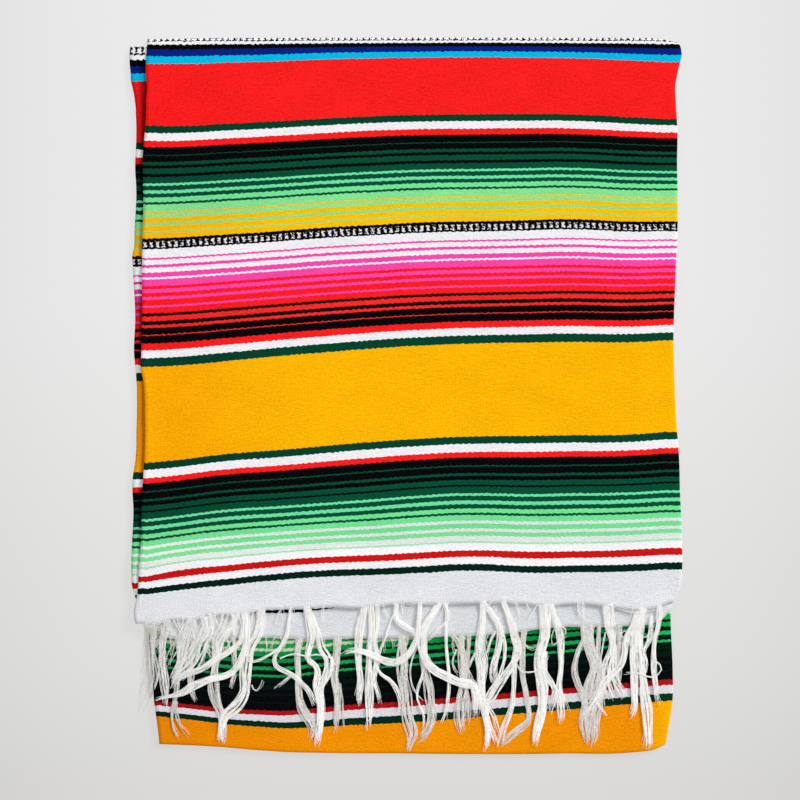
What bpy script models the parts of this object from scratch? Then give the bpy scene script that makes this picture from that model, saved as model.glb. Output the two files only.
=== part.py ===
import math
import random

import bmesh
import bpy
from mathutils import Vector

# Sizes are millimetres. x runs to the right, y away from the fringe and z up from the floor.
WALL = 2.0
GAP = 0.4
PITCH = WALL + GAP

# Heights of the top face of each layer, counted up from the floor.
BACK_TOP = WALL
INNER_BACK_TOP = BACK_TOP + PITCH
INNER_END_TOP = INNER_BACK_TOP + PITCH
END_TOP = INNER_END_TOP + PITCH
SECOND_TOP = INNER_BACK_TOP + PITCH
FRONT_TOP = SECOND_TOP + PITCH
STEP_UP = END_TOP - INNER_BACK_TOP

# The front and second plies climb onto the turned-up end over this stretch of y.
CLIMB_START = -200.0
CLIMB_END = -236.0
END_HEM_Y = -241.0

# Plan outlines. Each row: y, left edge x, right edge x.
FRONT_TOP_Y = 503.0
FRONT_SIDES = (
    (503, -363, 383),
    (486, -365, 386),
    (444, -363, 378),
    (388, -366, 380),
    (346, -367, 380),
    (276, -367, 379),
    (220, -370, 378),
    (150, -368, 376),
    (66, -370, 374),
    (-4, -366, 376),
    (-74, -366, 381),
    (-130, -371, 383),
    (-214, -373, 386),
    (-262, -381, 384),
    (-284, -374, 374),
    (-318, -366, 366),
)
SECOND_TOP_Y = 492.0
SECOND_SIDES = (
    (492, -387, 379),
    (472, -387.2, 378),
    (444, -386, 372),
    (416, -379, 373),
    (346, -378, 374),
    (276, -380, 373),
    (220, -383, 372),
    (150, -381, 370),
    (66, -378, 368),
    (-4, -378, 370),
    (-74, -380, 375),
    (-130, -384, 377),
    (-214, -385, 378),
    (-262, -386, 374),
    (-284, -385, 366),
    (-305, -376, 366),
    (-345, -364, 366),
)
END_SIDES = (
    (-241, -350, 370),
    (-311, -352, 370),
    (-360, -353, 372),
    (-424, -354, 373),
    (-450, -351, 370),
    (-482, -347, 365),
    (-500, -346, 362),
)
BACK_SIDES = (
    (502, -360, 381),
    (444, -361, 376),
    (220, -364, 375),
    (66, -364, 372),
    (-74, -360, 374),
    (-214, -356, 376),
    (-360, -353, 371),
    (-482, -346, 364),
    (-500, -345, 361),
)

# Lower edges. Each row: x, y.
FRONT_HEM = (
    (-368, -314),
    (-320, -307),
    (-226, -300),
    (-150, -296),
    (-89, -292),
    (-9, -289),
    (62, -285),
    (134, -288),
    (205, -290),
    (249, -288),
    (320, -289),
    (368, -287),
)
SECOND_HEM = (
    (-368, -321),
    (-326, -327),
    (-267, -334),
    (-188, -335),
    (-139, -338),
    (-89, -337),
    (20, -334),
    (78, -335),
    (120, -330),
    (163, -325),
    (205, -322),
    (277, -321),
    (320, -319),
    (369, -296),
)
BOTTOM_FOLD = (
    (-347, -486),
    (-318, -487),
    (-260, -490),
    (-200, -495),
    (-130, -498),
    (-9, -499),
    (106, -500),
    (220, -499),
    (334, -496),
    (364, -486),
)

# How far each fold rolls over and down.
TOP_ROLL = FRONT_TOP - BACK_TOP - GAP
SECOND_TOP_ROLL = 3.6
SIDE_ROLL = 2 * WALL + GAP
BOTTOM_ROLL = END_TOP - BACK_TOP - GAP
ROLL_STEPS = 4

# Low swells of the two upper plies. Each row: x, y, half width, half length, rise.
SWELLS = (
    (-250, 330, 150, 110, 1.5),
    (60, 250, 220, 90, 1.1),
    (270, 80, 130, 150, 1.6),
    (-120, -40, 190, 110, 1.3),
    (180, -110, 170, 70, 1.0),
    (-300, 120, 90, 160, 1.2),
    (320, 380, 80, 90, 1.2),
)
LEFT_LIFT = 2.2
LEFT_LIFT_REACH = 26.0

# Fringe. The strip carries the locks and follows the hem just outside its edge.
STRIP_GAP = 0.8
STRIP_WIDTH = 3.0
LOCK_WIDTH = 3.4
LOCK_SPACING = 5.2
LOCK_THICKNESS = 1.8
LOCK_STEPS = 6
TIP_SHARE = 0.45
FLOOR_CLEAR = 1.6

# Bundles of the front hem. Each row: root x, sideways bow, tip x, tip y, locks.
FRONT_BUNDLES = (
    (-361, -3, -365, -418, 2),
    (-334, -2, -341, -436, 3),
    (-302, 2, -320, -386, 2),
    (-277, 3, -300, -405, 2),
    (-240, 4, -275, -420, 3),
    (-222, 4, -256, -482, 2),
    (-203, 0, -230, -440, 2),
    (-163, -6, -150, -424, 3),
    (-136, 5, -124, -485, 2),
    (-60, 3, -67, -430, 2),
    (-44, 4, -51, -456, 3),
    (-14, 2, -22, -380, 2),
    (14, 3, -3, -412, 3),
    (46, -3, 42, -456, 3),
    (62, -4, 78, -424, 2),
    (104, 2, 108, -495, 3),
    (124, 5, 133, -420, 3),
    (189, 2, 184, -484, 3),
    (205, 2, 219, -452, 2),
    (268, 5, 252, -426, 3),
    (288, 2, 288, -410, 2),
    (323, 1, 309, -452, 2),
    (338, 0, 334, -495, 3),
    (354, 0, 352, -414, 2),
)
SECOND_BUNDLES = (
    (-322, -3, -319, -484, 2),
    (-301, 0, -301, -480, 1),
    (-270, -3, -260, -482, 2),
    (-228, 3, -222, -470, 2),
    (-190, 3, -184, -476, 2),
    (-152, -3, -137, -476, 2),
    (-122, 0, -119, -470, 1),
    (-92, -3, -98, -462, 2),
    (-64, 2, -62, -470, 2),
    (-34, 2, -32, -478, 2),
    (-10, 4, 6, -504.2, 2),
    (20, 2, 20, -484, 2),
    (58, 2, 56, -470, 2),
    (90, -2, 84, -478, 2),
    (132, 3, 124, -490, 2),
    (162, 2, 164, -450, 2),
    (194, 2, 196, -486, 1),
    (222, -2, 221, -470, 2),
    (250, -4, 240, -476, 2),
    (266, 2, 262, -484, 2),
    (292, 2, 290, -476, 2),
    (318, 2, 320, -486, 2),
    (346, 0, 348, -470, 2),
)

# Grid rows of the two upper plies: evenly down the flat part, closer where they climb.
CLOTH_COLUMNS = 22
FLAT_ROW_YS = [470 - 36 * k for k in range(19)]
CLIMB_ROW_YS = [CLIMB_START + 4 - 6.5 * k for k in range(8)]
HEM_ROWS = 2
END_ROWS = 8


def clear_scene():
    for thing in list(bpy.data.objects):
        bpy.data.objects.remove(thing, do_unlink=True)


def new_collection(name):
    collection = bpy.data.collections.new(name)
    bpy.context.scene.collection.children.link(collection)
    return collection


def cloth_material(name, color):
    material = bpy.data.materials.new(name)
    material.use_nodes = True
    shader = material.node_tree.nodes["Principled BSDF"]
    shader.inputs["Base Color"].default_value = (*color, 1.0)
    shader.inputs["Roughness"].default_value = 0.9
    return material


def smooth(share):
    share = min(1.0, max(0.0, share))
    return share * share * (3 - 2 * share)


# Slope of a table at one of its rows, from the rows on both sides.
def table_slope(rows, k, column):
    low = rows[max(k - 1, 0)]
    high = rows[min(k + 1, len(rows) - 1)]
    return (high[column] - low[column]) / (high[0] - low[0])


# Reads a column of a table along a smooth line through its rows, which run up or down in column 0.
def read_table(table, at, column=1):
    rows = table if table[0][0] < table[-1][0] else table[::-1]
    at = min(max(at, rows[0][0]), rows[-1][0])
    k = 0
    while k < len(rows) - 2 and at > rows[k + 1][0]:
        k += 1
    low = rows[k]
    high = rows[k + 1]
    span = high[0] - low[0]
    share = (at - low[0]) / span
    start = low[column] + table_slope(rows, k, column) * span * share
    end = high[column] - table_slope(rows, k + 1, column) * span * (1 - share)
    return start + (end - start) * smooth(share)


def swell(x, y):
    rise = 0.0
    for cx, cy, half_x, half_y, height in SWELLS:
        across = (x - cx) / half_x
        along = (y - cy) / half_y
        rise += height * math.exp(-1.2 * (across * across + along * along))
    return rise


# Height that both upper plies share at a place.
def shared_rise(x, y):
    climb = STEP_UP * smooth((CLIMB_START - y) / (CLIMB_START - CLIMB_END))
    flat_near_hem = smooth((y + 215) / 60)
    flat_near_fold = smooth((FRONT_TOP_Y - 12 - y) / 50)
    flat_near_side = smooth((362 - x) / 40)
    return climb + swell(x, y) * flat_near_hem * flat_near_fold * flat_near_side


def left_lift(x, y):
    from_edge = x - read_table(FRONT_SIDES, y, 1)
    along = smooth((y + 215) / 60) * smooth((470 - y) / 60)
    return LEFT_LIFT * along * math.exp(-from_edge / LEFT_LIFT_REACH)


# Grid stations: a share of the flat part, then turns of the roll up to a quarter.
def stations(count, roll_steps):
    flat = [(k / count, 0.0) for k in range(count + 1)]
    turns = [(1.0, (k + 1) / roll_steps) for k in range(roll_steps)]
    return flat + turns


# Rows of an upper ply, from its top roll down. Each row: y, share of the way on to the hem, turn.
def ply_rows(top_y, end_roll):
    turns = [(k + 1) / ROLL_STEPS for k in range(ROLL_STEPS)]
    rows = [(top_y - end_roll, 0.0, turn) for turn in reversed(turns)]
    rows += [(y, 0.0, 0.0) for y in [top_y - end_roll] + FLAT_ROW_YS + CLIMB_ROW_YS]
    rows += [(CLIMB_ROW_YS[-1], (k + 1) / HEM_ROWS, 0.0) for k in range(HEM_ROWS)]
    return rows


# Puts a point on a rolled edge or corner: how far over, sideways and lengthways, and how far down.
def rolled(side_turn, end_turn, side_radius, end_radius):
    turn = max(side_turn, end_turn)
    if turn == 0:
        return 0.0, 0.0, 0.0
    length = math.hypot(side_turn, end_turn)
    toward_side = side_turn / length
    toward_end = end_turn / length
    angle = turn * math.pi / 2
    depth = side_radius * toward_side**2 + end_radius * toward_end**2
    over_side = side_radius * toward_side * math.sin(angle)
    over_end = end_radius * toward_end * math.sin(angle)
    return over_side, over_end, depth * (1 - math.cos(angle))


# A wall of cloth under its outer face: a grid laid on place(column, row), then given its thickness.
def cloth_wall(name, collection, material, columns, rows, place):
    mesh = bpy.data.meshes.new(name)
    bm = bmesh.new()
    bmesh.ops.create_grid(bm, x_segments=len(columns) - 1, y_segments=len(rows) - 1, size=1)
    for vert in bm.verts:
        i = round((vert.co.x + 1) / 2 * (len(columns) - 1))
        j = round((vert.co.y + 1) / 2 * (len(rows) - 1))
        vert.co = Vector(place(columns[i], rows[j])) * 0.001
    bmesh.ops.recalc_face_normals(bm, faces=bm.faces)
    if sum(face.normal.z for face in bm.faces) < 0:
        bmesh.ops.reverse_faces(bm, faces=bm.faces)
    bm.to_mesh(mesh)
    bm.free()
    mesh.materials.append(material)
    wall = bpy.data.objects.new(name, mesh)
    collection.objects.link(wall)
    thicken = wall.modifiers.new("thickness", "SOLIDIFY")
    thicken.thickness = WALL * 0.001
    thicken.offset = -1
    thicken.use_even_offset = True
    return wall


def upper_ply_place(sides, hem, end_roll, top_height, lift):
    def place(column, row):
        across, side_turn = column
        level_y, hem_share, end_turn = row
        side_y = level_y + hem_share * (read_table(hem, 0) - level_y)
        left = read_table(sides, side_y, 1)
        right = read_table(sides, side_y, 2) - SIDE_ROLL
        x = left + across * (right - left)
        y = level_y + hem_share * (read_table(hem, x) - level_y)
        z = top_height + shared_rise(x, y)
        if lift:
            z += left_lift(x, y)
        over_side, over_end, down = rolled(side_turn, end_turn, SIDE_ROLL, end_roll)
        return x + over_side, y + over_end, z - down

    return place


def end_place(column, row):
    across, side_turn = column
    down_share, end_turn = row
    level_y = END_HEM_Y + down_share * (-493 - END_HEM_Y)
    left = read_table(END_SIDES, level_y, 1)
    right = read_table(END_SIDES, level_y, 2) - SIDE_ROLL
    x = left + across * (right - left)
    low = read_table(BOTTOM_FOLD, x) + BOTTOM_ROLL
    y = END_HEM_Y + down_share * (low - END_HEM_Y)
    over_side, over_end, down = rolled(side_turn, end_turn, SIDE_ROLL, BOTTOM_ROLL)
    return x + over_side, y - over_end, END_TOP - down


def flat_place(sides, top_y, bottom_inset, side_inset, height):
    def place(column, row):
        across = column[0]
        up = row[0]
        level_y = -490 + up * (top_y + 490)
        left = read_table(sides, level_y, 1) + side_inset
        right = read_table(sides, level_y, 2) - side_inset
        x = left + across * (right - left)
        low = read_table(BOTTOM_FOLD, x) + bottom_inset
        return x, low + up * (top_y - low), height

    return place


# A hidden layer as a plain plate with its own outline, to be joined into the core.
def plate(name, collection, material, sides, top_y, bottom_inset, side_inset, top, thickness):
    columns = stations(8, 0)
    rows = stations(12, 0)
    place = flat_place(sides, top_y, bottom_inset, side_inset, top)
    made = cloth_wall(name, collection, material, columns, rows, place)
    made.modifiers["thickness"].thickness = thickness * 0.001
    return made


def join(target, other):
    union = target.modifiers.new("join " + other.name, "BOOLEAN")
    union.operation = "UNION"
    union.solver = "EXACT"
    union.object = other


# Moves the four corners of a lock's end face to a cross-section of the lock.
def set_section(face, old_side, centre, side, width, thickness):
    middle = face.calc_center_median()
    for vert in face.verts:
        offset = vert.co - middle
        across = 1 if offset.dot(old_side) > 0 else -1
        up = 1 if offset.z > 0 else -1
        vert.co = centre + side * (across * width / 2)
        vert.co.z += up * thickness / 2


def lock_path(root, bow, tip, tip_height):
    points = []
    for step in range(1, LOCK_STEPS + 1):
        share = step / LOCK_STEPS
        x = root.x + (tip[0] - root.x) * share + bow * math.sin(math.pi * share)
        y = root.y + (tip[1] - root.y) * share
        z = root.z + (tip_height - root.z) * smooth((share - 0.25) / 0.7)
        points.append(Vector((x, y, z)))
    return points


def grow_lock(bm, face, root, path):
    side = Vector((1, 0, 0))
    last = root
    for step, point in enumerate(path):
        heading = point - last
        heading.z = 0
        new_side = Vector((-heading.y, heading.x, 0)).normalized()
        share = (step + 1) / len(path)
        width = LOCK_WIDTH * (1.0 - (1 - TIP_SHARE) * share**3)
        thickness = LOCK_THICKNESS * (1.0 - (1 - TIP_SHARE) * share**3)
        grown = bmesh.ops.extrude_discrete_faces(bm, faces=[face])["faces"][0]
        set_section(grown, side, point, new_side, width, thickness)
        face = grown
        side = new_side
        last = point


# A strip outside the hem with its locks grown out of its front, in one body.
def fringe(name, collection, material, hem, bundles, middle, ends, seed):
    chance = random.Random(seed)
    locks = []
    for root_x, bow, tip_x, tip_y, count in bundles:
        for k in range(count):
            step = k - (count - 1) / 2
            tip = (tip_x + step * LOCK_SPACING * 0.85, tip_y + chance.uniform(0, 9) * abs(step))
            locks.append((root_x + step * LOCK_SPACING, bow, tip))
    locks.sort()
    edges = [ends[0]]
    for root_x, _, _ in locks:
        edges += [root_x - LOCK_WIDTH / 2, root_x + LOCK_WIDTH / 2]
    edges.append(ends[1])
    mesh = bpy.data.meshes.new(name)
    bm = bmesh.new()
    bmesh.ops.create_grid(bm, x_segments=len(edges) - 1, y_segments=1, size=1)
    for vert in bm.verts:
        i = round((vert.co.x + 1) / 2 * (len(edges) - 1))
        out = STRIP_GAP if vert.co.y > 0 else STRIP_GAP + STRIP_WIDTH
        vert.co = Vector((edges[i], read_table(hem, edges[i]) - out, middle + LOCK_THICKNESS / 2))
    top = list(bm.faces)
    under = bmesh.ops.extrude_face_region(bm, geom=top, use_keep_orig=True)["geom"]
    for vert in [item for item in under if isinstance(item, bmesh.types.BMVert)]:
        vert.co.z -= LOCK_THICKNESS
    bmesh.ops.recalc_face_normals(bm, faces=bm.faces)
    fronts = [face for face in bm.faces if face.normal.y < -0.5]
    fronts.sort(key=lambda face: face.calc_center_median().x)
    for (root_x, bow, tip), face in zip(locks, fronts[1::2]):
        root = face.calc_center_median()
        over_floor = tip[0] < read_table(END_SIDES, tip[1], 1) - 4
        tip_height = FLOOR_CLEAR + LOCK_THICKNESS if over_floor else middle
        grow_lock(bm, face, root, lock_path(root, bow, tip, tip_height))
    bmesh.ops.recalc_face_normals(bm, faces=bm.faces)
    bmesh.ops.scale(bm, vec=(0.001, 0.001, 0.001), verts=bm.verts)
    bm.to_mesh(mesh)
    bm.free()
    mesh.materials.append(material)
    made = bpy.data.objects.new(name, mesh)
    collection.objects.link(made)
    return made


def main():
    clear_scene()
    parts = new_collection("folded_serape")
    helpers = new_collection("helpers")
    helpers.hide_render = True

    front_material = cloth_material("front_cloth", (0.85, 0.10, 0.05))
    second_material = cloth_material("second_cloth", (0.70, 0.30, 0.04))
    end_material = cloth_material("end_cloth", (0.10, 0.45, 0.16))
    back_material = cloth_material("back_cloth", (0.85, 0.42, 0.02))
    core_material = cloth_material("core_cloth", (0.30, 0.05, 0.05))
    front_fringe_material = cloth_material("front_yarn", (0.86, 0.85, 0.82))
    second_fringe_material = cloth_material("second_yarn", (0.72, 0.71, 0.68))

    columns = stations(CLOTH_COLUMNS, ROLL_STEPS)
    end_rows = stations(END_ROWS, ROLL_STEPS)

    # Front ply, rolling over the right and top folds
    rows = ply_rows(FRONT_TOP_Y, TOP_ROLL)
    place = upper_ply_place(FRONT_SIDES, FRONT_HEM, TOP_ROLL, FRONT_TOP, True)
    cloth_wall("front_panel", parts, front_material, columns, rows, place)

    # Ply under the front one, seen along the left side and below the front hem
    flat_columns = stations(CLOTH_COLUMNS, 0)
    rows = ply_rows(SECOND_TOP_Y, SECOND_TOP_ROLL)
    place = upper_ply_place(SECOND_SIDES, SECOND_HEM, SECOND_TOP_ROLL, SECOND_TOP, False)
    cloth_wall("second_panel", parts, second_material, flat_columns, rows, place)

    # Turned-up end, rolling over the right and bottom folds
    cloth_wall("turned_up_end", parts, end_material, columns, end_rows, end_place)

    # Back ply, flat on the floor
    plate("back_panel", parts, back_material, BACK_SIDES, 502, 0.6, 0, BACK_TOP, WALL)

    # Hidden layers, joined by a web set in from their edges
    core = plate("core", parts, core_material, BACK_SIDES, 486, 9, 3, INNER_BACK_TOP, WALL)
    inner_end = plate(
        "inner_end", helpers, core_material, END_SIDES, END_HEM_Y - 4, 9, 6, INNER_END_TOP, WALL
    )
    web = plate(
        "web", helpers, core_material, END_SIDES, END_HEM_Y - 12, 17, 14, INNER_END_TOP - 1, PITCH
    )
    for helper in (web, inner_end):
        helper.hide_render = True
        helper.display_type = "WIRE"
        join(core, helper)

    # Fringes
    front_middle = FRONT_TOP + STEP_UP - WALL / 2
    second_middle = SECOND_TOP + STEP_UP - WALL / 2
    fringe(
        "front_fringe", parts, front_fringe_material, FRONT_HEM, FRONT_BUNDLES,
        front_middle, (-365, 363), 3,
    )
    fringe(
        "second_fringe", parts, second_fringe_material, SECOND_HEM, SECOND_BUNDLES,
        second_middle, (-362, 366), 5,
    )


main()
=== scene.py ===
import math
import random

import bmesh
import bpy
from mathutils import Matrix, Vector, noise


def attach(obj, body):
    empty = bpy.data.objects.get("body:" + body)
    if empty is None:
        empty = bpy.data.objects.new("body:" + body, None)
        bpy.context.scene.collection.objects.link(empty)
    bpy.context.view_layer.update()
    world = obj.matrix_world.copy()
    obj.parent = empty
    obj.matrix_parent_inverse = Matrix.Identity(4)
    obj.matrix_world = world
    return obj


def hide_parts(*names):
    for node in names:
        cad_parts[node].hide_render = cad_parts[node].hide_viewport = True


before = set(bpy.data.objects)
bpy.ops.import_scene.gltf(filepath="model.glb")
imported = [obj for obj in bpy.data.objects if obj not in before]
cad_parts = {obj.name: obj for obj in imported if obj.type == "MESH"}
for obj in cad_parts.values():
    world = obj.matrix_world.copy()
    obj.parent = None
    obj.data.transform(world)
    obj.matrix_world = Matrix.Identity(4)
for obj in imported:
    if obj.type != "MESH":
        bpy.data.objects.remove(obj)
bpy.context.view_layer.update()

# Tables are in millimetres, in the frame of the solids: x right, y away from the fringe, z up.
mm = 0.001


def smooth(share):
    share = min(1.0, max(0.0, share))
    return share * share * (3 - 2 * share)


# Reads one column of a table along a smooth line through its rows.
def readTable(table, at, column=1):
    rows = table if table[0][0] < table[-1][0] else table[::-1]
    at = min(max(at, rows[0][0]), rows[-1][0])
    k = 0
    while k < len(rows) - 2 and at > rows[k + 1][0]:
        k += 1

    def slope(n):
        low, high = rows[max(n - 1, 0)], rows[min(n + 1, len(rows) - 1)]
        return (high[column] - low[column]) / (high[0] - low[0])

    span = rows[k + 1][0] - rows[k][0]
    share = (at - rows[k][0]) / span
    start = rows[k][column] + slope(k) * span * share
    end = rows[k + 1][column] - slope(k + 1) * span * (1 - share)
    return start + (end - start) * smooth(share)


def linkObject(name, data):
    thing = bpy.data.objects.new(name, data)
    bpy.context.scene.collection.objects.link(thing)
    return thing


view = {"lens": 85, "sensor": 36, "height": 2.653, "middle": (-0.0091, -0.0035)}

cameraData = bpy.data.cameras.new("camera")
cameraData.lens = view["lens"]
cameraData.sensor_width = view["sensor"]
camera = linkObject("camera", cameraData)
camera.location = (*view["middle"], view["height"])
bpy.context.scene.camera = camera

light = {"sky": 0.60, "sun": 2.30, "sunAngle": 20, "sunFrom": (0.60, 0.58, 0.50)}

world = bpy.data.worlds.new("studio")
world.use_nodes = True
sky = world.node_tree.nodes["Background"].inputs
sky["Color"].default_value = (1, 1, 1, 1)
sky["Strength"].default_value = light["sky"]
bpy.context.scene.world = world
bpy.context.scene.view_settings.view_transform = "Standard"

sunData = bpy.data.lights.new("window", "SUN")
sunData.energy = light["sun"]
sunData.angle = math.radians(light["sunAngle"])
sun = linkObject("window", sunData)
sun.rotation_euler = Vector(light["sunFrom"]).to_track_quat("Z", "Y").to_euler()
print("camera and light ready")


# Colour from levels of 0 to 255
def linear(red, green, blue):
    def one(value):
        value /= 255
        return value / 12.92 if value <= 0.04045 else ((value + 0.055) / 1.055) ** 2.4
    return (one(red), one(green), one(blue), 1.0)


# Adds a node. Values that are sockets are linked, and the rest are set.
def add(tree, kind, values=(), **settings):
    node = tree.nodes.new("ShaderNode" + kind)
    for key, value in settings.items():
        setattr(node, key, value)
    for place, value in dict(values).items():
        if isinstance(value, bpy.types.NodeSocket):
            tree.links.new(value, node.inputs[place])
        else:
            node.inputs[place].default_value = value
    return node


def maths(tree, operation, *values):
    return add(tree, "Math", enumerate(values), operation=operation).outputs[0]


def mixColor(tree, factor, first, second, blend="MIX"):
    return add(tree, "Mix", {0: factor, 6: first, 7: second}, data_type="RGBA", blend_type=blend).outputs[2]


# One value as a colour
def grey(tree, value):
    return add(tree, "CombineXYZ", {0: value, 1: value, 2: value}).outputs[0]


# Sets the stops of a colour ramp, from the first to the last
def setStops(ramp, stops):
    elements = ramp.color_ramp.elements
    for number, (at, levels) in enumerate(stops):
        stop = elements[number] if number < 2 else elements.new(at)
        stop.position = at
        stop.color = linear(*levels)


def newMaterial(name, roughness, specular):
    material = bpy.data.materials.new(name)
    material.use_nodes = True
    shader = material.node_tree.nodes["Principled BSDF"]
    shader.inputs["Roughness"].default_value = roughness
    shader.inputs["Specular IOR Level"].default_value = specular
    return material, material.node_tree, shader


def newGroup(name, inputs, outputs):
    group = bpy.data.node_groups.new(name, "ShaderNodeTree")
    for label, kind, value in inputs:
        socket = group.interface.new_socket(label, in_out="INPUT", socket_type=kind)
        if value is not None:
            socket.default_value = value
    for label, kind in outputs:
        group.interface.new_socket(label, in_out="OUTPUT", socket_type=kind)
    return group, group.nodes.new("NodeGroupInput").outputs, group.nodes.new("NodeGroupOutput").inputs


numeric, vector = "NodeSocketFloat", "NodeSocketVector"

# Each noise of the weave: its features in a metre across and along the cloth, and its detail
weaveNoises = {
    "coarse": (55, 90, 1), "grain": (300, 350, 2), "fine": (480, 560, 1), "pick": (70, 620, 1),
    "patchy": (14, 26, 3), "depth": (40, 260, 1),
}
# How much each one counts. The fuzz is in metres.
weaveShares = {
    "bend": 1.4, "depth": 1.6, "leastDepth": 0.42, "fuzz": 0.0014, "grain": 0.9, "pick": 0.6, "patchy": 0.4,
    "fine": 0.5, "lintAndSheen": 0.035, "rib": 0.05,
}

# Weft-faced weave: how far each pick wanders, its flecks and its ribs. Distances in metres.
weave, got, out = newGroup(
    "weftFacedWeave",
    [("UV", vector, None), ("Scallop", numeric, 0.0009), ("Scallop Width", numeric, 0.0086),
     ("Wander", numeric, 0.0010), ("Fleck", numeric, 0.40)],
    [("Across", numeric), ("Along", numeric), ("Tone", numeric), ("LintAndSheen", numeric), ("Height", numeric)],
)
parts = add(weave, "SeparateXYZ", {0: got["UV"]}).outputs


def weaveNoise(name):
    across, along, detail = weaveNoises[name]
    spot = add(weave, "Mapping", {"Vector": got["UV"], "Scale": (across, along, 1.0)}).outputs[0]
    noiseOut = add(weave, "TexNoise", {"Vector": spot, "Scale": 1.0, "Detail": detail}).outputs[0]
    return maths(weave, "SUBTRACT", noiseOut, 0.5)


# A socket times one of the shares, plus another value
def withShare(socket, name, other):
    return maths(weave, "MULTIPLY_ADD", socket, weaveShares[name], other)


coarse, grain, fine = weaveNoise("coarse"), weaveNoise("grain"), weaveNoise("fine")
pick, patchy = weaveNoise("pick"), weaveNoise("patchy")
turns = maths(weave, "DIVIDE", parts[0], got["Scallop Width"])
wave = maths(weave, "SINE", maths(weave, "MULTIPLY", withShare(coarse, "bend", turns), 2 * math.pi))
scallop = withShare(weaveNoise("depth"), "depth", weaveShares["leastDepth"])
moved = maths(weave, "MULTIPLY_ADD", wave, maths(weave, "MULTIPLY", got["Scallop"], scallop), parts[1])
moved = maths(weave, "MULTIPLY_ADD", coarse, got["Wander"], moved)
moved = withShare(fine, "fuzz", moved)
spots = withShare(grain, "grain", maths(weave, "MULTIPLY", pick, weaveShares["pick"]))
others = withShare(patchy, "patchy", maths(weave, "MULTIPLY", fine, weaveShares["fine"]))
tone = maths(weave, "MULTIPLY_ADD", maths(weave, "ADD", spots, others), got["Fleck"], 1.0)
# Faint white specks: partly pale lint, partly a painted sheen
lintAndSheen = maths(weave, "MAXIMUM", maths(weave, "MULTIPLY", fine, weaveShares["lintAndSheen"]), 0.0)
ribs = maths(weave, "SINE", maths(weave, "MULTIPLY", turns, 4 * math.pi))
height = withShare(ribs, "rib", maths(weave, "ADD", maths(weave, "ADD", grain, fine), pick))
woven = {"Across": turns, "Along": moved, "Tone": tone, "LintAndSheen": lintAndSheen, "Height": height}
for label, socket in woven.items():
    weave.links.new(socket, out[label])

# How marks are drawn, in shares of their distance apart and of the row's height
mark = {
    "flare": 0.14, "ragged": 0.36, "raggedBorder": 0.4, "tick": 0.07, "tickWander": 0.16, "lowTick": 0.32,
    "highTick": 0.52, "bite": 0.5, "leastBite": -0.22, "leastGap": 0.35,
}
rowWidth = 14  # of a row of marks, in mm

# White patches between two dark picks, with dark bars between them, as in a pick-and-pick row
ladder, got, out = newGroup(
    "ladderRow",
    [("Across", numeric, 0.0), ("Along", numeric, 0.0), ("Rough", numeric, 0.0), ("Start", numeric, 0.0),
     ("Width", numeric, rowWidth * mm), ("Patch", numeric, 0.20), ("Border", numeric, 0.50),
     ("Broken", numeric, 0.0)],
    [("Mask", numeric)],
)
inside = maths(ladder, "DIVIDE", maths(ladder, "SUBTRACT", got["Along"], got["Start"]), got["Width"])
fromMiddle = maths(ladder, "ABSOLUTE", maths(ladder, "MULTIPLY_ADD", inside, 2.0, -1.0))
sideways = maths(ladder, "SUBTRACT", maths(ladder, "FRACT", got["Across"]), 0.5)
fromSide = maths(ladder, "ABSOLUTE", sideways)
cell = maths(ladder, "FLOOR", got["Across"])
chance = add(ladder, "TexWhiteNoise", {"W": cell}, noise_dimensions="1D").outputs
hues = add(ladder, "SeparateColor", {0: chance[1]}).outputs
reach = maths(ladder, "MULTIPLY_ADD", got["Rough"], mark["ragged"], got["Patch"])
reach = maths(ladder, "MULTIPLY_ADD", fromMiddle, mark["flare"], reach)
border = maths(ladder, "MULTIPLY_ADD", got["Rough"], mark["raggedBorder"], got["Border"])
inRow = maths(ladder, "LESS_THAN", fromMiddle, border)
patch = maths(ladder, "MULTIPLY", maths(ladder, "LESS_THAN", fromSide, reach), inRow)


# A short dark tick that bites into each patch at its own height, from one side
def addTick(patch, low, at, bite, side):
    tickAt = maths(ladder, "MULTIPLY_ADD", at, mark["tickWander"], low)
    near = maths(ladder, "ABSOLUTE", maths(ladder, "SUBTRACT", inside, tickAt))
    near = maths(ladder, "LESS_THAN", near, mark["tick"])
    edge = maths(ladder, "MULTIPLY_ADD", bite, mark["bite"], mark["leastBite"])
    beyond = maths(ladder, "GREATER_THAN", maths(ladder, "MULTIPLY", sideways, side), edge)
    biting = maths(ladder, "MULTIPLY", near, beyond)
    return maths(ladder, "MULTIPLY", patch, maths(ladder, "SUBTRACT", 1.0, biting))


patch = addTick(patch, mark["lowTick"], chance[0], hues[0], 1.0)
patch = addTick(patch, mark["highTick"], hues[1], hues[2], -1.0)
gapWidth = maths(ladder, "MULTIPLY", got["Broken"], maths(ladder, "ADD", hues[1], mark["leastGap"]))
gaps = maths(ladder, "LESS_THAN", fromSide, gapWidth)
gaps = maths(ladder, "MULTIPLY", gaps, maths(ladder, "SUBTRACT", 1.0, inRow))
ladder.links.new(maths(ladder, "MAXIMUM", patch, gaps), out["Mask"])

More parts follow.
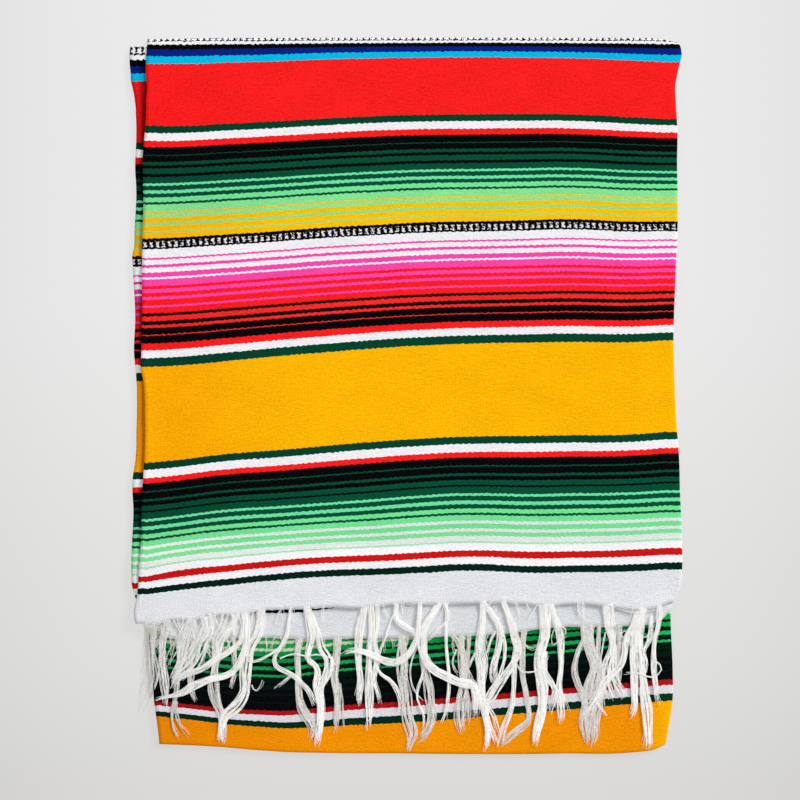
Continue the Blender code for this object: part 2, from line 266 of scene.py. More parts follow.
dye = {
    "white": (244, 243, 247), "milk": (227, 233, 229), "hem": (229, 230, 234), "black": (4, 5, 8),
    "navy": (8, 34, 128), "cyan": (4, 186, 228), "red": (252, 31, 31), "brick": (250, 42, 40),
    "wine": (202, 20, 18), "pine": (3, 66, 44), "fern": (4, 78, 53), "moss": (2, 34, 24),
    "mint1": (112, 228, 165), "mint2": (118, 230, 152), "mint3": (134, 230, 150),
    "mint4": (150, 230, 145), "mint5": (150, 224, 138), "leaf1": (118, 228, 148),
    "leaf2": (130, 226, 155), "leaf3": (165, 228, 182), "corn": (248, 198, 6), "gold": (254, 198, 3),
    "orange": (255, 185, 2), "pink": (253, 72, 172), "chalk": (228, 225, 228), "lintAndSheen": (240, 240, 240),
}
# The turned-up end gets darker copies of the same dyes: partly deeper colour, partly painted shade
deepAndShadedDye = dict(
    dye, white=(222, 219, 224), milk=(190, 208, 172), hem=(215, 212, 215), red=(168, 20, 22),
    pine=(2, 42, 26), fern=(2, 20, 15), moss=(3, 28, 22), mint1=(24, 158, 82), mint2=(14, 142, 66),
    mint3=(20, 150, 70), mint4=(120, 180, 110), leaf1=(30, 152, 74), leaf2=(70, 172, 98),
    leaf3=(130, 190, 130), orange=(243, 147, 2),
)

# Stripes as dye and width in mm, from the middle of the cloth out to the hem
blackToGreen = [
    ("fern", 1.4), ("black", 8.4), ("fern", 4.2), ("black", 4.2), ("fern", 7), ("black", 4.2),
    ("fern", 7.9), ("mint1", 3.2), ("fern", 6.2), ("mint1", 4.6), ("fern", 4.5), ("mint2", 6.6),
    ("fern", 3.2), ("mint3", 8.9),
]
greenToGold = [
    ("corn", 3.0), ("mint4", 6.2), ("corn", 5.4), ("mint5", 4.5), ("gold", 7.6), ("mint5", 1.4),
    ("gold", 8.3),
]
whiteToBlack = [
    ("white", 10.7), ("pink", 2.8), ("white", 6.8), ("pink", 4.4), ("white", 5.7), ("pink", 6.9),
    ("white", 3.1), ("pink", 9.0), ("red", 3.1), ("pink", 5.7), ("red", 5.4), ("pink", 3.6), ("red", 7.7),
    ("pink", 2.1), ("red", 7.9), ("black", 3.5), ("brick", 6.6), ("black", 6.2), ("brick", 3.8),
    ("black", 8.9), ("brick", 1.5), ("black", 9.8), ("red", 9.0), ("white", 11.1), ("pine", 10.6),
]
hemFade = [
    ("pine", 10.5), ("white", 11.9), ("red", 8.4), ("black", 10.5), ("fern", 2.0), ("black", 9.2),
    ("fern", 3.6), ("black", 6.2), ("fern", 6.6), ("black", 3.2), ("fern", 9.4), ("mint1", 3.0),
    ("fern", 7.2), ("mint1", 5.4), ("fern", 5.8), ("mint2", 6.4), ("fern", 3.2), ("mint2", 8.3),
    ("milk", 3.5), ("leaf1", 7.6), ("milk", 4.5), ("leaf2", 5.3), ("milk", 8.4), ("leaf3", 2.0),
    ("white", 10.7), ("wine", 9.2), ("white", 10.4), ("moss", 10), ("hem", 60),
]
halfRuns = (
    [("white", 18.0), ("black", 5.1), ("navy", 7.6), ("cyan", 8.5), ("red", 77.7), ("pine", 9.8),
     ("white", 9.8), ("red", 9.1), ("black", 9.8)]
    + blackToGreen + greenToGold + [("black", 14)] + whiteToBlack + [("orange", 130.9)] + hemFade
)
centreRuns = (
    greenToGold[::-1] + blackToGreen[::-1] + [("black", 9.8), ("red", 9.1), ("white", 9.8), ("pine", 9.8)]
    + [("orange", 130.9)] + whiteToBlack[::-1]
)
halfStart = -11.2  # the white row at the cloth's middle lies over the top fold
ladderAt = 256.2  # where the marks start in the broad black stripe
whiteMarks = {"Patch": 0.27, "Border": 0.76, "Broken": 0.1}
# Rows of marks: their place, how their patches differ, and whether the row is a white one
frontLadders = ((halfStart + 1.4, whiteMarks, True), (ladderAt, {}, False))
mostStops = 30  # stripes that one colour ramp takes


def totalWidth(runs):
    return sum(width for _, width in runs)


# Colour of the stripes, from colour ramps that are chained along the cloth
def stripeColor(tree, along, runs, start, dyes):
    color, begin = None, start
    for first in range(0, len(runs), mostStops):
        some = runs[first:first + mostStops]
        length = totalWidth(some)
        share = maths(tree, "DIVIDE", maths(tree, "SUBTRACT", along, begin * mm), length * mm)
        ramp = add(tree, "ValToRGB", {0: share})
        ramp.color_ramp.interpolation = "CONSTANT"
        setStops(ramp, [(totalWidth(some[:k]) / length, dyes[name]) for k, (name, _) in enumerate(some)])
        if color is None:
            color = ramp.outputs[0]
        else:
            beyond = maths(tree, "GREATER_THAN", along, begin * mm)
            color = mixColor(tree, beyond, color, ramp.outputs[0])
        begin += length
    return color


clothLook = {"roughness": 0.95, "specular": 0.02, "bump": 0.55, "relief": 0.0009, "mottle": 3.0}


def clothMaterial(name, runs, start, dyes, ladders, paintedLight=()):
    material, tree, shader = newMaterial(name, clothLook["roughness"], clothLook["specular"])
    uv = add(tree, "UVMap", uv_map="cloth").outputs[0]
    threads = add(tree, "Group", {"UV": uv}, node_tree=weave).outputs
    color = stripeColor(tree, threads["Along"], runs, start, dyes)
    for place, settings, isWhite in ladders:
        sockets = {"Across": threads["Across"], "Along": threads["Along"], "Rough": threads["Height"]}
        row = add(tree, "Group", {**sockets, "Start": place * mm, **settings}, node_tree=ladder)
        mask = row.outputs["Mask"]
        if isWhite:  # dark marks on a white row
            half = rowWidth / 2
            within = maths(tree, "COMPARE", threads["Along"], (place + half) * mm, half * mm)
            mask = maths(tree, "MULTIPLY", maths(tree, "SUBTRACT", 1.0, mask), within)
        color = mixColor(tree, mask, color, linear(*dyes["black" if isWhite else "chalk"]))
    across = add(tree, "SeparateXYZ", {0: uv}).outputs[0]
    for first, last, factor, channel in paintedLight:  # painted light and shade across the cloth, strongest where the channel is low
        ends = {0: across, 1: first, 2: last}
        share = add(tree, "MapRange", ends, interpolation_type="SMOOTHSTEP").outputs[0]
        lowChannelWeight = maths(tree, "SUBTRACT", 1.0, add(tree, "SeparateColor", {0: color}).outputs[channel])
        lowChannelWeight = maths(tree, "MULTIPLY", lowChannelWeight, lowChannelWeight)
        color = mixColor(tree, maths(tree, "MULTIPLY", share, lowChannelWeight), color, (*factor, 1), "MULTIPLY")
    flecks = grey(tree, threads["Tone"])
    color = mixColor(tree, 1.0, color, flecks, "MULTIPLY")
    hues = add(tree, "SeparateColor", {0: color}).outputs  # reds and dark dyes are the most mottled
    noGreen, noBlue = maths(tree, "SUBTRACT", 1.0, hues[1]), maths(tree, "SUBTRACT", 1.0, hues[2])
    deep = maths(tree, "POWER", maths(tree, "MULTIPLY", noGreen, noBlue), clothLook["mottle"])
    color = mixColor(tree, deep, color, flecks, "MULTIPLY")
    # Pale lint and painted sheen, as white specks
    color = mixColor(tree, threads["LintAndSheen"], color, linear(*dyes["lintAndSheen"]))
    tree.links.new(color, shader.inputs["Base Color"])
    relief = {"Strength": clothLook["bump"], "Distance": clothLook["relief"], "Height": threads["Height"]}
    tree.links.new(add(tree, "Bump", relief).outputs[0], shader.inputs["Normal"])
    return material


yarn = {
    # The second ply's yarns are darker: painted shade where the front ply hangs over them
    "front": ((252, 251, 249), (243, 242, 239)), "second": ((236, 234, 229), (214, 211, 205)),
    "roughness": 0.95, "specular": 0.05, "paintedGlow": (1, 0.99, 0.97, 1), "paintedGlowStrength": 0.10,
    "grain": 380, "bump": 0.4, "relief": 0.0003, "greyFrom": -0.35, "greyTo": -0.27, "grey": 0.78,
}


def yarnMaterial(name, color, shade):
    material, tree, shader = newMaterial(name, yarn["roughness"], yarn["specular"])
    place = add(tree, "TexCoord").outputs["Object"]
    spots = add(tree, "TexNoise", {"Vector": place, "Scale": yarn["grain"], "Detail": 2.0}).outputs[0]
    share = add(tree, "MapRange", {0: spots, 1: 0.35, 2: 0.65}).outputs[0]
    cotton = mixColor(tree, share, linear(*shade), linear(*color))
    # Yarns are greyer towards the left corner
    across = add(tree, "SeparateXYZ", {0: place}).outputs[0]
    ends = {0: across, 1: yarn["greyFrom"], 2: yarn["greyTo"], 3: yarn["grey"], 4: 1.0}
    fade = add(tree, "MapRange", ends).outputs[0]
    tree.links.new(mixColor(tree, 1.0, cotton, grey(tree, fade), "MULTIPLY"), shader.inputs["Base Color"])
    bump = add(tree, "Bump", {"Strength": yarn["bump"], "Distance": yarn["relief"], "Height": spots})
    tree.links.new(bump.outputs[0], shader.inputs["Normal"])
    shader.inputs["Emission Color"].default_value = yarn["paintedGlow"]  # painted light: a faint glow that whitens the yarn, in place of light passing through thin cotton
    shader.inputs["Emission Strength"].default_value = yarn["paintedGlowStrength"]
    return material


print("materials ready")

outline = {
    "frontSides": (
        (504, -363, 382), (488, -363.5, 385.5), (478, -364.5, 384), (467, -365, 381), (450, -364.5, 378),
        (442, -363, 376.5), (423, -364, 377), (388, -365, 379), (360, -367.5, 379.5), (333, -369, 379),
        (277, -368, 380), (232, -369.5, 379.5), (200, -370, 378), (150, -370, 376), (108, -370.5, 374.5),
        (74, -371, 374), (57, -371.5, 374.5), (40, -368, 375), (24, -366.5, 375.5), (-4, -366, 376.5),
        (-46, -366, 379), (-88, -368, 382), (-130, -370.5, 383), (-171, -371, 385), (-214, -374.5, 386),
        (-248, -376, 385), (-262, -379.5, 384), (-276, -381, 379), (-290, -378, 372), (-318, -368, 366),
    ),
    "secondSides": (
        (492, -387, 383), (472, -388, 382), (454, -386.5, 378), (442, -386, 376), (434, -384, 376),
        (414, -380.5, 376), (394, -379, 377), (358, -378.5, 377), (322, -380, 377), (290, -378.5, 378),
        (262, -379, 377), (228, -381, 376), (206, -381.5, 375), (195, -384, 375), (181, -383.5, 375),
        (150, -382, 374), (108, -380, 373), (78, -381, 372), (55, -381.5, 372), (33, -379.5, 373),
        (16, -378.3, 373), (-4, -377.5, 374), (-60, -378.3, 377), (-96, -379.4, 380), (-112, -382, 381),
        (-135, -384, 381), (-171, -382.5, 382), (-213, -384.5, 382), (-255, -385, 380), (-275, -384, 374),
        (-290, -380, 373), (-310, -374, 373), (-345, -364, 372),
    ),
    "endSides": (
        (-241, -362, 370), (-311, -361, 370), (-360, -359, 372), (-396, -355, 373), (-424, -354, 373),
        (-450, -351, 370), (-482, -347, 365), (-500, -346, 362),
    ),
    "backSides": (
        (504, -363, 383), (444, -361, 374), (220, -364, 373), (66, -364, 369), (-74, -360, 371),
        (-214, -354, 368), (-311, -351, 366), (-360, -352, 367), (-424, -352, 368), (-482, -346, 364),
        (-500, -346, 362),
    ),
    "frontHem": (
        (-368, -316), (-349, -317), (-334, -311), (-317, -311), (-293, -310), (-281, -305), (-255, -304),
        (-226, -303), (-205, -298), (-146, -295), (-93, -293), (-62, -294), (-16, -289), (54, -289),
        (103, -287), (159, -288), (200, -292), (220, -289), (278, -291), (305, -296), (344, -294),
        (368, -287),
    ),
    "secondHem": (
        (-368, -322), (-348, -327), (-335, -336), (-267, -337), (-198, -336), (-139, -338), (-76, -337),
        (-9, -336), (36, -335), (89, -333), (115, -332), (141, -330), (180, -325), (216, -321), (264, -321),
        (327, -318), (352, -313), (369, -296),
    ),
    "bottomFold": (
        (-347, -486), (-318, -487), (-260, -490), (-200, -495), (-130, -498), (-9, -499), (106, -500),
        (220, -499), (334, -496), (364, -486),
    ),
    "topSag": ((-363, 1.8), (-310, 0.9), (-230, 0), (330, 0), (352, 1.2), (370, 4), (383, 6.5)),
    "frontTopY": 504, "secondTopY": 492, "endHemY": -241, "endLowY": -490,
    "linesFrom": 503,  # where the distances down the front ply are counted from
}
stack = {
    "ply": 1.6,        # thickness of one ply
    "pitch": 2.4,      # one ply and its air gap
    "top": 9.2,        # outer face of the fourth ply
    "stepUp": 4.8,     # rise onto the turned-up end
    "climbStart": -200, "climbEnd": -236,
    "noseReach": 4.4, "noseHalf": 2.0, "plainReach": 1.0,
}
swells = (
    (-250, 330, 150, 110, 1.5), (60, 250, 220, 90, 1.1), (270, 80, 130, 150, 1.6), (-120, -40, 190, 110, 1.3),
    (180, -110, 170, 70, 1.0), (-300, 120, 90, 160, 1.2), (320, 380, 80, 90, 1.2),
)
# Height of each ripple, its length across and along, and its level in the noise
ripples = ((0.45, 70, 55, 3.1), (0.12, 22, 18, 7.7))
# Where swells and ripples fade out, and over how far
calm = {"step": -215, "stepFade": 60, "top": 492, "topFade": 50, "right": 362, "rightFade": 40}
# Lift of the front ply's free edges: how high, how far in, where it fades out and over how far.
# Waves: their least share, their swing and their length.
edgeLift = {
    "left": 2.9, "leftReach": 16, "low": -250, "high": 470, "leftFade": 60, "leftWaves": (0.8, 0.5, 60),
    "hem": 3.0, "hemReach": 24, "hemHalf": 372, "hemFade": 30, "hemWaves": (0.75, 0.6, 48),
}
# Small waves of a cut end: how deep and long in its line, and how high, long and far in over its face
ruffle = {"deep": 1.1, "long": 7, "level": 9.4, "high": 0.45, "across": 15, "along": 11, "reach": 30}


# Height of the two upper plies over their lowest level
def sharedRise(x, y):
    climb = stack["stepUp"] * smooth((stack["climbStart"] - y) / (stack["climbStart"] - stack["climbEnd"]))
    rise = 0.0
    for cx, cy, halfX, halfY, tall in swells:
        rise += tall * math.exp(-1.2 * (((x - cx) / halfX) ** 2 + ((y - cy) / halfY) ** 2))
    for tall, longX, longY, level in ripples:
        rise += tall * (1 + noise.noise(Vector((x / longX, y / longY, level))))
    share = smooth((y - calm["step"]) / calm["stepFade"]) * smooth((calm["top"] - y) / calm["topFade"])
    share *= smooth((calm["right"] - x) / calm["rightFade"])
    return climb + rise * share


def frontLift(x, y):
    fromLeft = x - readTable(outline["frontSides"], y, 1)
    along = smooth((y - edgeLift["low"]) / edgeLift["leftFade"])
    along *= smooth((edgeLift["high"] - y) / edgeLift["leftFade"])
    least, swing, long = edgeLift["leftWaves"]
    uneven = least + swing * noise.noise(Vector((0.3, y / long, 1.7)))
    lift = edgeLift["left"] * uneven * along * math.exp(-fromLeft / edgeLift["leftReach"])
    fromHem = y - readTable(outline["frontHem"], x)
    least, swing, long = edgeLift["hemWaves"]
    unevenHem = least + swing * noise.noise(Vector((x / long, 0.7, 5.3)))
    within = smooth((x + edgeLift["hemHalf"]) / edgeLift["hemFade"])
    within *= smooth((edgeLift["hemHalf"] - x) / edgeLift["hemFade"])
    return lift + edgeLift["hem"] * unevenHem * within * math.exp(-max(fromHem, 0) / edgeLift["hemReach"])


# Line of a cut end, by the depth of its ply under the front one
def hemLine(hem, x, depth):
    wave = noise.noise(Vector((x / ruffle["long"], depth, ruffle["level"])))
    return readTable(hem, x) + ruffle["deep"] * wave


# Where the weft lines lie: their distance down the cloth, and how far each hangs lower at each x
frontLines = (28, 105.7, 256.2, 425.6, 556.5, 640, 719.6, 739.2, 792.4)
frontTop = ((504, 0.0),)
frontSag = (
    (-362, 7.5, 16.6, 26.0, 34.3, 37.3, 35.6, 33.8, 30.5, 24.2),
    (-317, 8.1, 16.8, 23.8, 32.0, 33.2, 30.4, 25.0, 24.9, 17.5),
    (-254, 6.3, 13.7, 19.9, 26.3, 25.4, 22.4, 18.6, 17.7, 14.7),
    (-184, 4.3, 10.2, 15.4, 19.6, 20.1, 17.8, 11.7, 10.5, 8.0),
    (-114, 1.5, 6.3, 10.2, 13.8, 13.8, 12.7, 6.7, 5.3, 3.2),
    (-44, 0.1, 2.8, 6.5, 8.2, 7.9, 7.6, 3.9, 2.9, 0.2),
    (26, -1, 1.0, 2.8, 4.2, 3.5, 1.9, 0.2, -0.5, -1.3),
    (96, -1.6, 0.4, 1.5, 1.5, 0.6, -0.9, -2.4, -3.7, -3.4),
    (166, -1, 0, 0, 0.2, -0.2, 0.4, -0.8, -0.6, -1.5),
    (236, 0, 0.7, -1.5, -0.8, -1.2, -0.8, -1.2, -1.6, 0),
    (306, 2.7, 4.2, 1.5, -0.3, -1.9, -1.9, -3, -2.7, -1),
    (362, 5.4, 6.7, 1.2, -2.8, -5.8, -4.9, -5.8, -5.7, -3.1),
)
secondTop = ((492, -4.0), (482.3, 2.8), (472.5, 7.7), (463.5, 12.6), (454.3, 19.6))
secondSag = (
    (-376, 31.9, 39.6, 50.1, 54.3, 50.8, 47, 43.1, 40.3, 31.9),
    (-184, 30, 36, 40, 44, 48, 52, 56, 57.8, 45.9),
    (-60, 20, 26, 28, 30, 34, 37, 40, 42, 48),
    (120, 14, 18, 18, 18, 20, 25, 30, 34, 40.6),
    (366, 10, 12, 12, 14, 16, 17, 18, 18, 8),
)
# Line of the red stripe's outer side on the turned-up end
endRedLine = (
    (-345, -426.3), (-317, -429.1), (-201, -438.9), (-131, -436.1), (-93, -431.9), (-9, -426.3),
    (220, -408.1), (362, -395.5),
)
endRedAlong = 585.9
# How the stripes crowd above the red line, and below it
endCrowd = ((-345, 1.085, 1.45), (-200, 1.085, 1.3), (-90, 1.06, 1.05), (150, 1.03, 1.0), (362, 0.975, 1.0))


def alongEnd(x, y):
    beyond = y - readTable(endRedLine, x)
    return endRedAlong + beyond * readTable(endCrowd, x, 1 if beyond > 0 else 2)


def alongCloth(x, y, sags, topLines, hem=None):
    lines = list(topLines)
    for number, place in enumerate(frontLines):
        lines.append((outline["linesFrom"] - place - readTable(sags, x, number + 1), place))
    if hem:
        lines[-1] = (readTable(hem, x), frontLines[-1])
    k = 0
    while k < len(lines) - 2 and y < lines[k + 1][0]:
        k += 1
    high, low = lines[k], lines[k + 1]
    return high[1] + (high[0] - y) / (high[0] - low[0]) * (low[1] - high[1])


print("outlines ready")


# Steps along one side of a cloth: share of the way to its fold, then the turn round the fold
def stepsAlong(count, foldSteps):
    flat = [(k / count, 0.0) for k in range(count + 1)]
    return flat + [(1.0, math.pi * (k + 1) / foldSteps) for k in range(foldSteps)]


# Place across at one step: x, and how far it has sunk round the nose at the right-hand fold
def acrossAt(column, sides, y, inset=0.0, reach=stack["noseReach"]):
    share, turn = column
    left = readTable(sides, y, 1) + inset
    right = readTable(sides, y, 2) - reach
    x = left + share * (right - left) + stack["noseReach"] * math.sin(turn)
    return x, stack["noseHalf"] * (1 - math.cos(turn))


# A grid laid on place(column, row), which gives a point and its place on the flat cloth
def layCloth(name, columns, rows, place, material, faceUp):
    bm = bmesh.new()
    bmesh.ops.create_grid(bm, x_segments=len(columns) - 1, y_segments=len(rows) - 1, size=1)
    flat = {}
    for vert in bm.verts:
        i = round((vert.co.x + 1) / 2 * (len(columns) - 1))
        j = round((vert.co.y + 1) / 2 * (len(rows) - 1))
        point, flat[vert] = place(columns[i], rows[j])
        vert.co = Vector(point) * mm
    uvLayer = bm.loops.layers.uv.new("cloth")
    for face in bm.faces:
        for loop in face.loops:
            loop[uvLayer].uv = (flat[loop.vert][0] * mm, flat[loop.vert][1] * mm)
        face.smooth = True
    bmesh.ops.recalc_face_normals(bm, faces=bm.faces)
    if (sum(face.normal.z * face.calc_area() for face in bm.faces) > 0) != faceUp:
        bmesh.ops.reverse_faces(bm, faces=bm.faces)
    mesh = bpy.data.meshes.new(name)
    bm.to_mesh(mesh)
    bm.free()
    mesh.materials.append(material)
    cloth = linkObject(name, mesh)
    thicken = cloth.modifiers.new("thickness", "SOLIDIFY")
    thicken.thickness = stack["ply"] * mm
    thicken.offset = -1
    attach(cloth, "root")
    return cloth


foldRadius = stack["top"] / 2


# The ply on top is the front one. The second lies a ply's pitch under it, and has no nose at the right.
def upperCloth(ply, sags, topLines):
    isFront = ply == "front"
    sides, hem = outline[ply + "Sides"], outline[ply + "Hem"]
    depth = 0.0 if isFront else stack["pitch"]
    middleHem = readTable(hem, 0)
    foldY = outline[ply + "TopY"] - (foldRadius - depth)

    def place(column, row):
        share, turn = row
        level = middleHem + share * (foldY - middleHem)
        x, sunk = acrossAt(column, sides, level, 0.0, stack["noseReach" if isFront else "plainReach"])
        low = hemLine(hem, x, depth)
        startY = foldY - (readTable(outline["topSag"], x) if isFront else 0)
        y = low + share * (startY - low)
        if turn == 0:
            waves = noise.noise(Vector((x / ruffle["across"], y / ruffle["along"], 2.2 + depth)))
            z = stack["top"] - depth - sunk + sharedRise(x, y)
            z += ruffle["high"] * math.exp(-(y - low) / ruffle["reach"]) * waves
            if isFront and sunk == 0:
                z += frontLift(x, y)
            v = alongCloth(x, y, sags, topLines, None if isFront else hem)
        else:
            radius = foldRadius - depth - sunk
            z = foldRadius + radius * math.cos(turn)
            y = startY + radius * math.sin(turn)
            v = alongCloth(x, startY, sags, topLines) - turn * (foldRadius - depth)
        return (x, y, z), (x + sunk, v)

    return place


print("laying the front ply")
front = {"columns": 136, "rows": 148, "foldSteps": 12, "noseSteps": 8, "flat": (0.755, 0.807)}
# Painted light and shade on a cloth: from where to where across, in metres, their factor, and the channel
# that is low
# Painted shade: the front ply darker towards its left side, where less light falls
frontPaintedShade = ((-0.12, -0.34, (0.98, 0.84, 0.9), 2),)
frontMaterial = clothMaterial("frontStripes", halfRuns, halfStart, dye, frontLadders, frontPaintedShade)
frontColumns = stepsAlong(front["columns"], front["noseSteps"])
frontRows = stepsAlong(front["rows"], front["foldSteps"])
frontPlace = upperCloth("front", frontSag, frontTop)
frontCloth = layCloth("frontCloth", frontColumns, frontRows, frontPlace, frontMaterial, True)
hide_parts("front_panel")

print("laying the second ply")
second = {"columns": 118, "rows": 150, "foldSteps": 8, "flat": (0.76, 0.83)}
# The second ply's hem white is a touch greyer than the front's: painted shade under the front ply
secondDyeShadedHem = dict(dye, hem=(225, 230, 232))
# Painted shadow of the front ply's left edge on the second ply's strip, darkest next to that edge
secondPaintedShadow = (
    (-0.388, -0.370, (1.04, 0.74, 0.9), 2), (-0.388, -0.370, (0.70, 0.66, 0.72), 1),
    (-0.377, -0.368, (0.45, 0.34, 0.4), 1),
)
secondMaterial = clothMaterial("secondStripes", halfRuns, halfStart, secondDyeShadedHem, frontLadders, secondPaintedShadow)
secondColumns = stepsAlong(second["columns"], 0)
secondRows = stepsAlong(second["rows"], second["foldSteps"])
secondPlace = upperCloth("second", secondSag, secondTop)
secondCloth = layCloth("secondCloth", secondColumns, secondRows, secondPlace, secondMaterial, True)
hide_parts("second_panel")

print("laying the turned-up end")
end = {"columns": 120, "rows": 46, "foldSteps": 12, "noseSteps": 8, "flat": (0.735, 0.272)}


# Straight part of a ply that turns round the bottom fold starts here
def bottomStart(x):
    return readTable(outline["bottomFold"], x) + foldRadius


def endPlace(column, row):
    share, turn = row  # turn runs from pi, at the hidden start of the fold, to 0 on top
    level = outline["endLowY"] + share * (outline["endHemY"] - outline["endLowY"])
    x, sunk = acrossAt(column, outline["endSides"], level)
    low = bottomStart(x)
    radius = foldRadius - sunk
    y = low + share * (outline["endHemY"] - low) - radius * math.sin(turn)
    z = foldRadius + radius * math.cos(turn)
    v = alongEnd(x, y if turn == 0 else low - turn * foldRadius)
    return (x, y, z), (x + sunk, v)


# Painted shade on the end's left side, and a painted highlight along its right edge, where the corner curls
# up
endPaintedShadeAndHighlight = ((-0.10, -0.33, (0.92, 0.84, 1), 2), (0.315, 0.368, (1.08, 1.5, 1.3), 2))
endMaterial = clothMaterial("endStripes", halfRuns, halfStart, deepAndShadedDye, (), endPaintedShadeAndHighlight)
endRows = [(0.0, math.pi * (1 - k / end["foldSteps"])) for k in range(end["foldSteps"])]
endRows += [(k / end["rows"], 0.0) for k in range(end["rows"] + 1)]
endColumns = stepsAlong(end["columns"], end["noseSteps"])
endCloth = layCloth("endCloth", endColumns, endRows, endPlace, endMaterial, True)
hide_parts("turned_up_end")

print("laying the back and the hidden plies")
back = {"columns": 60, "rows": 84, "noseSteps": 8, "flat": (0.745, 0.993)}
inner = {
    "columns": 50, "rows": 60, "foldSteps": 8, "endRows": 14, "flat": (0.73, 1.22),
    "highY": 486, "lowY": -480, "endY": -246, "endRise": 236, "backInset": 3, "endInset": 4, "fromRight": 2,
    "endAlong": 700, "endLong": 240,
}


def backPlace(column, row):
    high = outline["frontTopY"] - foldRadius
    x, sunk = acrossAt(column, outline["backSides"], high - row * (high - outline["endLowY"]))
    y = high - row * (high - bottomStart(x))
    return (x, y, sunk), (x + sunk, high - y)


# Place across of an inner layer, a little inside the outer ply beside it
def innerAcross(column, sides, y, inset):
    return acrossAt(column, outline[sides], y, inner[inset])[0] - inner["fromRight"]


def innerPlace(column, row):
    leg, share = row
    high, low = inner["highY"], inner["lowY"]
    depth = stack["pitch"]
    radius = foldRadius - depth
    if leg == "back":
        level = high - share * (high - low)
        x = innerAcross(column, "backSides", level, "backInset")
        return (x, high - share * (high - bottomStart(x)), depth), (x, outline["linesFrom"] - level)
    x = innerAcross(column, "endSides", low, "endInset")
    start = bottomStart(x)
    if leg == "fold":
        turn = math.pi * share
        point = (x, start - radius * math.sin(turn), foldRadius - radius * math.cos(turn))
        return point, (x, outline["linesFrom"] - start + radius * turn)
    x = innerAcross(column, "endSides", low + share * inner["endRise"], "endInset")
    y = start + share * (inner["endY"] - start)
    return (x, y, stack["top"] - depth), (x, inner["endAlong"] + share * inner["endLong"])


backStart = totalWidth(centreRuns)
backRuns = centreRuns + halfRuns
backLadders = ((backStart, whiteMarks, True), (backStart + ladderAt - halfStart, {}, False))
backMaterial = clothMaterial("backStripes", backRuns, 0.0, dye, backLadders)
backRows = [k / back["rows"] for k in range(back["rows"] + 1)]
backColumns = stepsAlong(back["columns"], back["noseSteps"])
backCloth = layCloth("backCloth", backColumns, backRows, backPlace, backMaterial, False)
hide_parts("back_panel")

innerMaterial = clothMaterial("innerStripes", backRuns, 0.0, dye, ())
innerRows = [("back", k / inner["rows"]) for k in range(inner["rows"] + 1)]
innerRows += [("fold", (k + 1) / inner["foldSteps"]) for k in range(inner["foldSteps"])]
innerRows += [("end", (k + 1) / inner["endRows"]) for k in range(inner["endRows"])]
innerColumns = stepsAlong(inner["columns"], 0)
innerCloth = layCloth("innerCloth", innerColumns, innerRows, innerPlace, innerMaterial, False)
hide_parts("core")

fringe = {
    "fibre": 0.35, "fibres": 3, "ply": 0.66, "plyWide": 1.3, "plyHigh": 0.6, "step": 7, "mostSteps": 34,
    "bends": (0.8, 1.9), "straightFor": 25, "twistLength": (90, 170), "quiver": 0.2, "quivers": 17,
    "fray": 30, "parted": (0.5, 4.0), "thin": 0.45, "shorter": 0.06, "tip": (-9, 5),
    "heap": 1.5, "heapRound": 3.4, "clear": 0.1, "rooted": 9, "tuck": 2.5, "settle": 16, "climb": 30,
}
fullTurn, thirdTurn = 6.28, 2.09  # in radians

